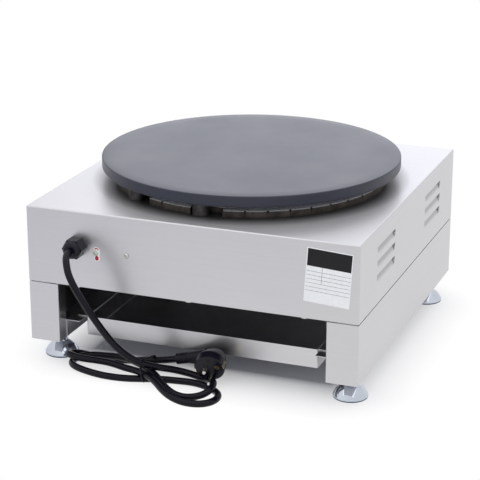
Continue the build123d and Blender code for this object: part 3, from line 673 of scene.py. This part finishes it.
def makeTrayBends():
    # the rounded bends of the folded tray: inside along its floor, and where the lip turns out
    look = trayBends
    steps, size, bead = look["steps"], look["floorRound"], look["lipRound"]
    inside, floor = look["inside"] + look["overlap"], look["floor"] - look["overlap"]
    corner = [(inside, floor)]
    for turn in (math.pi / 2 * step / steps for step in range(steps + 1)):
        corner.append((inside - size + size * math.sin(turn),
                       floor + size - size * math.cos(turn)))
    x, z = look["inside"] + look["lipInset"], look["lip"] - look["lipInset"]
    lip = [(x + bead * math.cos(turn), z + bead * math.sin(turn))
           for turn in (math.pi * step / steps for step in range(2 * steps))]
    for label, side in (("left", 1), ("right", -1)):
        for name, section in (("tray_bend_", corner), ("tray_lip_", lip)):
            # painted highlight: the strips take a pale, non-metal finish that stands for glints
            # along the bends
            addPrism(name + label, [(across * side, up) for across, up in section],
                     look["front"], look["back"], finishes["bent_steel"], "drawer",
                     look["sharp"])


makeTrayBends()
print("tray bends made")


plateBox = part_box("griddle_plate")
plateShape = {
    "radius": (plateBox[1][0] - plateBox[0][0]) / 2,
    "bottom": plateBox[0][2],
    "thickness": plateBox[1][2] - plateBox[0][2],
    "lowerRound": 0.0025,
    "upperRound": 0.0015,
    "steps": 257,
    "rows": 41,
    "underTo": 0.3,  # share of the rows at which each stretch ends
    "lowerTo": 0.4,
    "wallTo": 0.6,
    "upperTo": 0.7,
    "merge": 0.00002,
}


def makePlate():
    # a grid whose rows run from the underside's middle, round the rim, to the middle of the top
    shape = Shape("plateShape", plateShape)
    size = shape.size
    grid = shape.node("GeometryNodeMeshGrid", None, {
        "Size X": 1.0, "Size Y": 1.0, "Vertices X": size("steps"), "Vertices Y": size("rows")})
    x, y = shape.split(shape.node("GeometryNodeInputPosition"))[:2]
    turn = (x + 0.5) * (2 * math.pi)
    row = y + 0.5
    under = shape.share(row, 0.0, size("underTo"))
    lower = shape.share(row, size("underTo"), size("lowerTo")) * (math.pi / 2)
    wall = shape.share(row, size("lowerTo"), size("wallTo"))
    upper = shape.share(row, size("wallTo"), size("upperTo")) * (math.pi / 2)
    over = shape.share(row, size("upperTo"), 1.0)
    radius = (under * (size("radius") - size("lowerRound")) + size("lowerRound") * lower.sine()
              - size("upperRound") * (1 - upper.cosine())
              - over * (size("radius") - size("upperRound")))
    height = (size("bottom") + size("lowerRound") * (1 - lower.cosine())
              + size("upperRound") * upper.sine()
              + wall * (size("thickness") - size("lowerRound") - size("upperRound")))
    place = shape.vector(radius * turn.cosine(), radius * turn.sine(), height)
    plate = shape.node("GeometryNodeSetPosition", None, {"Geometry": grid, "Position": place})
    plate = shape.node("GeometryNodeMergeByDistance", None,
                       {"Geometry": plate, "Distance": size("merge")})
    shape.finished(plate, finishes["cast_iron_plate"])
    data = shape.mesh("griddle_plate_dressed")
    data.set_sharp_from_angle(angle=crispAngle)
    piece = addPiece("griddle_plate_dressed", data, "body")
    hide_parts("griddle_plate")


makePlate()
print("plate made")


tieShape = {
    "wire": 0.00075,  # radius of each strand
    "apart": 0.00078,  # of a strand from the middle of the twist
    "turns": 26.0,
    "points": 420,  # along the line
    "around": 8,
}
tiePath = [  # round the strands of the bundle, and out into the twisted tail
    (0.059, 0.244, 0.027), (0.058, 0.2452, 0.03), (0.0574, 0.242, 0.0345), (0.0574, 0.234, 0.0322),
    (0.0574, 0.219, 0.0276), (0.0574, 0.205, 0.0252), (0.0574, 0.1985, 0.0218),
    (0.0574, 0.1972, 0.0175), (0.0574, 0.203, 0.0126), (0.0574, 0.215, 0.007),
    (0.0574, 0.227, 0.002), (0.0574, 0.233, 0.0016), (0.0574, 0.2385, 0.0024),
    (0.0574, 0.243, 0.009), (0.0574, 0.245, 0.018), (0.0574, 0.2462, 0.027), (0.0578, 0.2475, 0.03),
    (0.0586, 0.2495, 0.0318),
]


def makeTie():
    # two strands wound round one line, each a round section swept along it
    shape = Shape("tieShape", tieShape, takesGeometry=True)
    size = shape.size
    line = shape.node("GeometryNodeResampleCurve", None,
                      {"Curve": size("Geometry"), "Count": size("points")})
    turn = shape.node("GeometryNodeSplineParameter") * size("turns") * (2 * math.pi)
    across = shape.node("GeometryNodeInputNormal")
    along = shape.node("GeometryNodeInputTangent")
    over = shape.vectors("CROSS_PRODUCT", {0: along, 1: across})
    strands = []
    for start in (0.0, math.pi):
        one = shape.vectors("SCALE",
                            {0: across, "Scale": (turn + start).cosine() * size("apart")})
        two = shape.vectors("SCALE", {0: over, "Scale": (turn + start).sine() * size("apart")})
        shift = shape.vectors("ADD", {0: one, 1: two})
        wound = shape.node("GeometryNodeSetPosition", None, {"Geometry": line, "Offset": shift})
        section = shape.node("GeometryNodeCurvePrimitiveCircle", None,
                             {"Resolution": size("around"), "Radius": size("wire")})
        strands.append(shape.node("GeometryNodeCurveToMesh", None, {
            "Curve": wound, "Profile Curve": section, "Fill Caps": True}))
    shape.finished(shape.join(*strands), finishes["black_plastic"])
    data = shape.mesh("cord_tie_dressed", pathThrough("tieLine", tiePath))
    piece = addPiece("cord_tie_dressed", data, "body")
    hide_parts("cord_tie")
    return piece


cordTie = makeTie()
print("tie made")


dialShape = {
    "centreX": 0.0,
    "centreZ": 0.165,
    "front": -0.2262,
    "stepTurn": 9.0,  # degrees, clockwise from the top
    "marks": 31,
    "radius": 0.0246,
    "length": 0.0016,
    "longEvery": 5,
    "longer": 0.8,  # how much longer every fifth mark is
    "width": 0.00045,
    "height": 0.00012,
}
dialNumbers = {
    "values": ("50", "100", "150", "200", "250", "300"),
    "turns": (45, 90, 135, 180, 225, 270),
    "size": 0.0031,
    "thick": 0.00005,
    "radius": 0.0283,
    "raised": 0.00008,
}


def makeDial():
    shape = Shape("dialShape", dialShape)
    size = shape.size
    index = shape.node("GeometryNodeInputIndex")
    line = shape.node("GeometryNodeMeshLine", None, {"Count": size("marks")})
    turn = index * size("stepTurn") * (math.pi / 180)
    place = shape.vector(size("centreX") + turn.sine() * size("radius"), size("front"),
                         size("centreZ") + turn.cosine() * size("radius"))
    dots = shape.node("GeometryNodeSetPosition", None, {"Geometry": line, "Position": place})
    bar = shape.node("GeometryNodeMeshCube", None, {
        "Size": shape.vector(size("width"), size("height"), size("length"))})
    stretch = 1 + size("longer") * (index.math("MODULO", index, size("longEvery")) < 0.5)
    marks = shape.node("GeometryNodeInstanceOnPoints", None,
                       {"Points": dots, "Instance": bar, "Rotation": shape.vector(0.0, turn, 0.0),
                        "Scale": shape.vector(1.0, 1.0, stretch)})
    shape.finished(marks, finishes["dial_ink"], smooth=False)
    addPiece("dial_marks", shape.mesh("dial_marks"), "body")
    look = dialNumbers
    for value, degrees in zip(look["values"], look["turns"]):
        turn = math.radians(degrees)
        middle = (dialShape["centreX"] + math.sin(turn) * look["radius"],
                  dialShape["front"] - look["raised"],
                  dialShape["centreZ"] + math.cos(turn) * look["radius"])
        addNumber("dial_number_" + value, value, middle, look["size"], look["thick"])


makeDial()
print("dial marked")


knobShape = {
    "centreX": 0.0,
    "centreZ": 0.165,
    "back": -0.2276,
    "depth": 0.0040,
    "radius": 0.0229,
    "ribWidth": 0.0011,
    "ribSides": 10,
    "ribs": 48,
}
pointerLook = {"width": 0.0012, "low": 0.1735, "high": 0.1846, "front": -0.24995, "depth": 0.0006}


def makeKnobGrip():
    shape = Shape("knobGrip", knobShape)
    size = shape.size
    turn = shape.node("GeometryNodeInputIndex") / size("ribs") * (2 * math.pi)
    line = shape.node("GeometryNodeMeshLine", None, {"Count": size("ribs")})
    place = shape.vector(size("centreX") + turn.sine() * size("radius"),
                         size("back") - size("depth") / 2,
                         size("centreZ") + turn.cosine() * size("radius"))
    dots = shape.node("GeometryNodeSetPosition", None, {"Geometry": line, "Position": place})
    rib = shape.node("GeometryNodeMeshCylinder", None, {
        "Vertices": size("ribSides"), "Radius": size("ribWidth") / 2, "Depth": size("depth")})
    lying = shape.node("GeometryNodeTransform", None,
                       {"Geometry": rib, "Rotation": shape.vector(math.pi / 2)})
    ribs = shape.node("GeometryNodeInstanceOnPoints", None, {"Points": dots, "Instance": lying})
    shape.finished(ribs, finishes["knob_plastic"])
    data = shape.mesh("knob_grip")
    data.set_sharp_from_angle(angle=crispAngle)
    addPiece("knob_grip", data, "thermostat_dial")
    look = pointerLook
    addBlock("knob_pointer", (-look["width"] / 2, look["front"], look["low"]),
             (look["width"] / 2, look["front"] + look["depth"], look["high"]),
             finishes["dial_print"], "thermostat_dial")


makeKnobGrip()
print("knob finished")


ratingPlate = {
    "width": 0.0584,
    "height": 0.0698,
    "headHigh": 0.0222,
    "margin": 0.0012,
    "thick": 0.0003,
    "edge": 0.00008,
    "sunk": 0.0001,  # how far the dark parts reach into the plate
    "raised": 0.00008,  # how far they stand out of it
    "rows": 6,
    "rowPitch": 0.0050,
    "firstRow": 0.0300,  # below the top edge
    "ruleHigh": 0.0003,
    "ruleDeep": 0.00016,
    "columnAt": 0.36,  # share of the width
    "columnHigh": 0.0220,
    "middle": (-0.1830, 0.2250, 0.1702),
    "askew": -3.6,  # degrees, as it was stuck on
}


def makeRatingPlate():
    # a bare plate: a dark head, and ruled rows with nothing written in them
    look = ratingPlate
    half, top, front = look["width"] / 2, look["height"] / 2, look["thick"]
    under, over = front - look["sunk"], front + look["raised"]
    head = top - look["margin"] - look["headHigh"]
    inner = half - look["margin"]
    column = half - look["columnAt"] * look["width"]
    black = finishes["label_black"]
    pieces = [
        addBlock("rating_plate", (-half, 0, -top), (half, front, top), finishes["label_white"],
                 "body", look["edge"]),
        addBlock("rating_plate_head", (-inner, under, head), (inner, over, top - look["margin"]),
                 black, "body"),
        addBlock("rating_plate_column", (column, under, head - look["columnHigh"]),
                 (column + look["ruleHigh"], over, head), black, "body"),
    ]
    sizes = ("width", "margin", "rows", "rowPitch", "firstRow", "ruleHigh", "ruleDeep", "height",
             "thick")
    shape = Shape("ratingRows", {key: look[key] for key in sizes})
    size = shape.size
    start = shape.vector(0.0, size("thick"), size("height") / 2 - size("firstRow"))
    line = shape.node("GeometryNodeMeshLine", None, {
        "Count": size("rows"), "Start Location": start,
        "Offset": shape.vector(0.0, 0.0, 0 - size("rowPitch"))})
    rule = shape.node("GeometryNodeMeshCube", None, {
        "Size": shape.vector(size("width") - size("margin") * 2, size("ruleDeep"),
                             size("ruleHigh"))})
    rules = shape.node("GeometryNodeInstanceOnPoints", None, {"Points": line, "Instance": rule})
    shape.finished(rules, black, smooth=False)
    pieces.append(addPiece("rating_plate_rows", shape.mesh("rating_plate_rows"), "body"))
    askew = Matrix.Rotation(math.radians(look["askew"]), 4, "Y")
    for piece in pieces:
        piece.data.transform(Matrix.Translation(look["middle"]) @ askew)


tagLook = {
    "middle": (0.1243, 0.1618),
    "halfWidth": 0.0043,
    "halfHeight": 0.0095,
    "wall": 0.2250,
    "thick": 0.0002,
    "corners": 24,
    "printed": (0.5, 1.3),  # depths of the red parts, as shares of the tag's
    "archRadii": (0.0033, 0.0019),
    "archFrom": 0.3,  # radians above the horizontal
    "drop": (0.0021, 0.0034),  # half width and half height
    "dropDown": 0.0050,
    "dropTaper": (1.15, 0.25),
}


def makeTag():
    # a small white tag round one screw, with a red arch above it and a red drop below
    look = tagLook
    x, z = look["middle"]
    wide, long = look["halfWidth"], look["halfHeight"] - look["halfWidth"]
    wall, thick, corners = look["wall"], look["thick"], look["corners"]
    rounds = [math.pi * step / corners for step in range(corners + 1)]
    outline = [(x + wide * math.cos(turn), z + long + wide * math.sin(turn)) for turn in rounds]
    outline += [(x - wide * math.cos(turn), z - long - wide * math.sin(turn)) for turn in rounds]
    addPrism("marker_tag", outline, wall, wall + thick, finishes["tag_white"], "body")
    low, high = (wall + thick * share for share in look["printed"])
    sweep = [turn for turn in rounds if look["archFrom"] < turn < math.pi - look["archFrom"]]
    arch = []
    for radius, turns in zip(look["archRadii"], (sweep, sweep[::-1])):
        arch += [(x + radius * math.cos(turn), z + long + radius * math.sin(turn))
                 for turn in turns]
    addPrism("marker_tag_arch", arch, low, high, finishes["tag_red"], "body")
    across, up = look["drop"]
    wider, taper = look["dropTaper"]
    drop = [(x + across * math.cos(turn) * (wider - taper * math.sin(turn)),
             z - look["dropDown"] + up * math.sin(turn))
            for turn in (2 * math.pi * step / corners for step in range(corners))]
    addPrism("marker_tag_drop", drop, low, high, finishes["tag_red"], "body")


makeRatingPlate()
makeTag()
print("label and tag placed")


cordLook = {
    "diameter": 0.009,
    "length": 1.274,
    "exit": (0.1515, 0.247, 0.1695),
    "smooth": 8,  # curve steps per control point
    "around": 10,  # the curve's bevel resolution, which makes 24 corners
}
cordRoute = [
    # out of the gland and down the back
    (0.1515, 0.247, 0.1695), (0.1513, 0.2535, 0.1688), (0.149, 0.2625, 0.166),
    (0.1445, 0.2705, 0.1605), (0.1395, 0.277, 0.1525), (0.1335, 0.2805, 0.1435),
    (0.127, 0.2815, 0.133), (0.12, 0.2795, 0.1195), (0.1125, 0.275, 0.1035),
    (0.105, 0.2685, 0.0865), (0.097, 0.2615, 0.0695), (0.0865, 0.2555, 0.0525),
    (0.072, 0.248, 0.0375), (0.0585, 0.2405, 0.0285), (0.0485, 0.233, 0.0235),
    # over the bundle and down to the worktop in front of it
    (0.0385, 0.225, 0.0195), (0.0255, 0.213, 0.014), (0.013, 0.206, 0.0095), (0.0, 0.204, 0.0065),
    (-0.013, 0.2075, 0.005), (-0.024, 0.2155, 0.007), (-0.034, 0.227, 0.013),
    # first fold on the plug's side, then back across
    (-0.0395, 0.2395, 0.0145), (-0.04, 0.252, 0.012), (-0.0345, 0.262, 0.009),
    (-0.0245, 0.2685, 0.007), (-0.012, 0.27, 0.0055), (0.001, 0.267, 0.0055),
    (0.0125, 0.261, 0.007), (0.024, 0.252, 0.009), (0.0365, 0.2395, 0.012), (0.05, 0.2285, 0.014),
    # upper run and the lower fold on the gland's side
    (0.064, 0.2185, 0.0145), (0.077, 0.2115, 0.015), (0.09, 0.206, 0.0155), (0.1015, 0.202, 0.015),
    (0.113, 0.199, 0.0135), (0.1275, 0.1965, 0.0115), (0.1465, 0.195, 0.0095), (0.16, 0.2, 0.0085),
    (0.167, 0.2115, 0.0075), (0.1655, 0.2255, 0.0075), (0.1545, 0.2365, 0.008),
    (0.135, 0.2425, 0.007), (0.1135, 0.2445, 0.0055), (0.094, 0.2435, 0.005), (0.078, 0.24, 0.0045),
    (0.064, 0.2355, 0.0045),
    # lowest run and the wide fold on the plug's side
    (0.047, 0.2295, 0.0045), (0.032, 0.226, 0.0045), (0.0155, 0.224, 0.0045),
    (-0.001, 0.223, 0.005), (-0.0155, 0.225, 0.005), (-0.029, 0.2295, 0.0045),
    (-0.0415, 0.2375, 0.0045), (-0.0495, 0.2475, 0.005), (-0.052, 0.2595, 0.005),
    (-0.0485, 0.2715, 0.005), (-0.0395, 0.2805, 0.005), (-0.027, 0.285, 0.0055),
    (-0.0125, 0.2845, 0.006), (0.003, 0.279, 0.0075), (0.0175, 0.269, 0.0095),
    (0.033, 0.255, 0.013), (0.046, 0.2445, 0.014),
    # upper fold on the gland's side
    (0.0595, 0.2365, 0.014), (0.074, 0.2305, 0.013), (0.0895, 0.2265, 0.0125),
    (0.1055, 0.224, 0.0145), (0.1215, 0.2245, 0.016), (0.149, 0.2305, 0.018),
    (0.167, 0.2255, 0.0185), (0.176, 0.215, 0.0155), (0.176, 0.201, 0.011), (0.167, 0.1905, 0.007),
    (0.152, 0.188, 0.0045), (0.135, 0.189, 0.0045), (0.1235, 0.19, 0.005), (0.111, 0.1925, 0.0065),
    (0.0975, 0.1955, 0.009), (0.082, 0.1995, 0.013),
    # over the bundle and into the plug's strain relief
    (0.067, 0.2025, 0.017), (0.053, 0.2035, 0.0192), (0.04, 0.2031, 0.0212),
    (0.0254, 0.202, 0.0247),
]


def makeCord():
    data = pathThrough("mains_cord", cordRoute)
    data.splines[0].resolution_u = cordLook["smooth"]
    data.bevel_depth = cordLook["diameter"] / 2
    data.bevel_resolution = cordLook["around"]
    data.use_fill_caps = True
    data.materials.append(finishes["cord_rubber"])
    cord = addPiece("mains_cord", data, "body")
    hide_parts("cord_lead", "cord_hank", "cord_tail")


makeCord()
print("cord laid")


stageLook = {
    "floorSize": 14.0,
    "floorColour": (0.84, 0.85, 0.89, 1),
    "halfWidth": 0.165,  # of the ground that stays shaded under the machine
    "halfDepth": 0.155,
    "whiteAt": 0.11,  # metres outside that ground, where the floor shows plain white
    "whiteCurve": 0.65,
    "dimFrom": -0.1,  # across the floor, where its mirror image begins to dim
    "dimTo": 0.55,
    "dimMost": 0.75,
    "worldColour": (0.93, 0.96, 1.0, 1),
    "worldLight": 0.50,
}
lampLooks = {  # place, what it points at, size, power, whether metal shows it, colour
    "overhead": ((0.3, 0.2, 2.6), (0, 0, 0.1), 3.2, 30, False, (1, 1, 1)),
    "ceiling": ((0.0, 0.4, 2.8), (0, 0, 0.1), 4.6, 28, True, (1, 1, 1)),
    "farSide": ((0.6, -3.2, 1.1), (0, 0, 0.15), 2.6, 20, True, (0.85, 0.88, 1.0)),
}


def seenDirectly(maker):  # 1 for the camera, mirrors and glass, 0 for what only lights the object
    path = maker.node("ShaderNodeLightPath")
    seen = path + maker.twin(path, "Is Glossy Ray") + maker.twin(path, "Is Transmission Ray")
    return seen.most(1.0)


def makeFloor():
    look = stageLook
    reach = look["floorSize"]
    finish = Finish("floorWhite")
    x, y = finish.axes()[:2]
    outX = (x.absolute() - look["halfWidth"]).least(0.0)
    outY = (y.absolute() - look["halfDepth"]).least(0.0)
    away = ((outX * outX + outY * outY) ** 0.5 / look["whiteAt"]).most(1.0) ** look["whiteCurve"]
    matt = finish.node("ShaderNodeBsdfDiffuse", None, {"Color": look["floorColour"]})
    white = finish.node("ShaderNodeEmission", None, {"Strength": 1.0})
    side = finish.share(x, look["dimFrom"], look["dimTo"]) * look["dimMost"]
    mirrored = finish.node("ShaderNodeLightPath", out="Is Glossy Ray")
    shown = seenDirectly(finish) * away * (1.0 - side * mirrored)
    both = finish.node("ShaderNodeMixShader", None, {0: shown, 1: matt, 2: white})
    finish.node("ShaderNodeOutputMaterial", None, {"Surface": both})
    corners = [(-reach, -reach, 0), (reach, -reach, 0), (reach, reach, 0), (-reach, reach, 0)]
    addMesh("floor", corners, [(0, 1, 2, 3)], finish.material)


def makeWorld():
    world = bpy.data.worlds.new("studio")
    scene.world = world
    world.use_nodes = True
    sky = NodeMaker(world.node_tree)
    light = sky.node("ShaderNodeBackground", None, {"Color": stageLook["worldColour"],
                                                    "Strength": stageLook["worldLight"]})
    white = sky.node("ShaderNodeBackground", None, {"Color": (1, 1, 1, 1), "Strength": 1.0})
    mix = sky.node("ShaderNodeMixShader", None, {0: seenDirectly(sky), 1: light, 2: white})
    sky.node("ShaderNodeOutputWorld", None, {"Surface": mix})


def makeLamp(name, spot, target, size, power, mirrored, colour):
    data = bpy.data.lights.new(name, "AREA")
    data.color = colour
    data.size = size
    data.energy = power
    lamp = bpy.data.objects.new(name, data)
    scene.collection.objects.link(lamp)
    lamp.location = spot
    lamp.visible_glossy = mirrored
    lamp.rotation_mode = "QUATERNION"
    lamp.rotation_quaternion = (Vector(target) - Vector(spot)).to_track_quat("-Z", "Y")


cameraLook = {
    "azimuth": 200.92,
    "elevation": 18.932,
    "distance": 2.309907,
    "target": (0.016545, 0.0, 0.122),
    "focalPixels": 1689.347,
    "frame": 480,
    "sensor": 36,  # millimetres
    "clip": 50,  # metres, past the far end of the floor
}


def makeCamera():
    look = cameraLook
    data = bpy.data.cameras.new("camera")
    camera = bpy.data.objects.new("camera", data)
    scene.collection.objects.link(camera)
    azimuth = math.radians(look["azimuth"])
    elevation = math.radians(look["elevation"])
    back = Vector((math.sin(azimuth) * math.cos(elevation),
                   -math.cos(azimuth) * math.cos(elevation), math.sin(elevation)))
    camera.location = Vector(look["target"]) + back * look["distance"]
    camera.rotation_mode = "QUATERNION"
    camera.rotation_quaternion = (-back).to_track_quat("-Z", "Y")
    data.sensor_width = look["sensor"]
    data.lens = look["sensor"] * look["focalPixels"] / look["frame"]
    data.clip_end = look["clip"]
    scene.camera = camera


makeFloor()
makeWorld()
for lampName, look in lampLooks.items():
    makeLamp(lampName, *look)
makeCamera()
print("stage set")
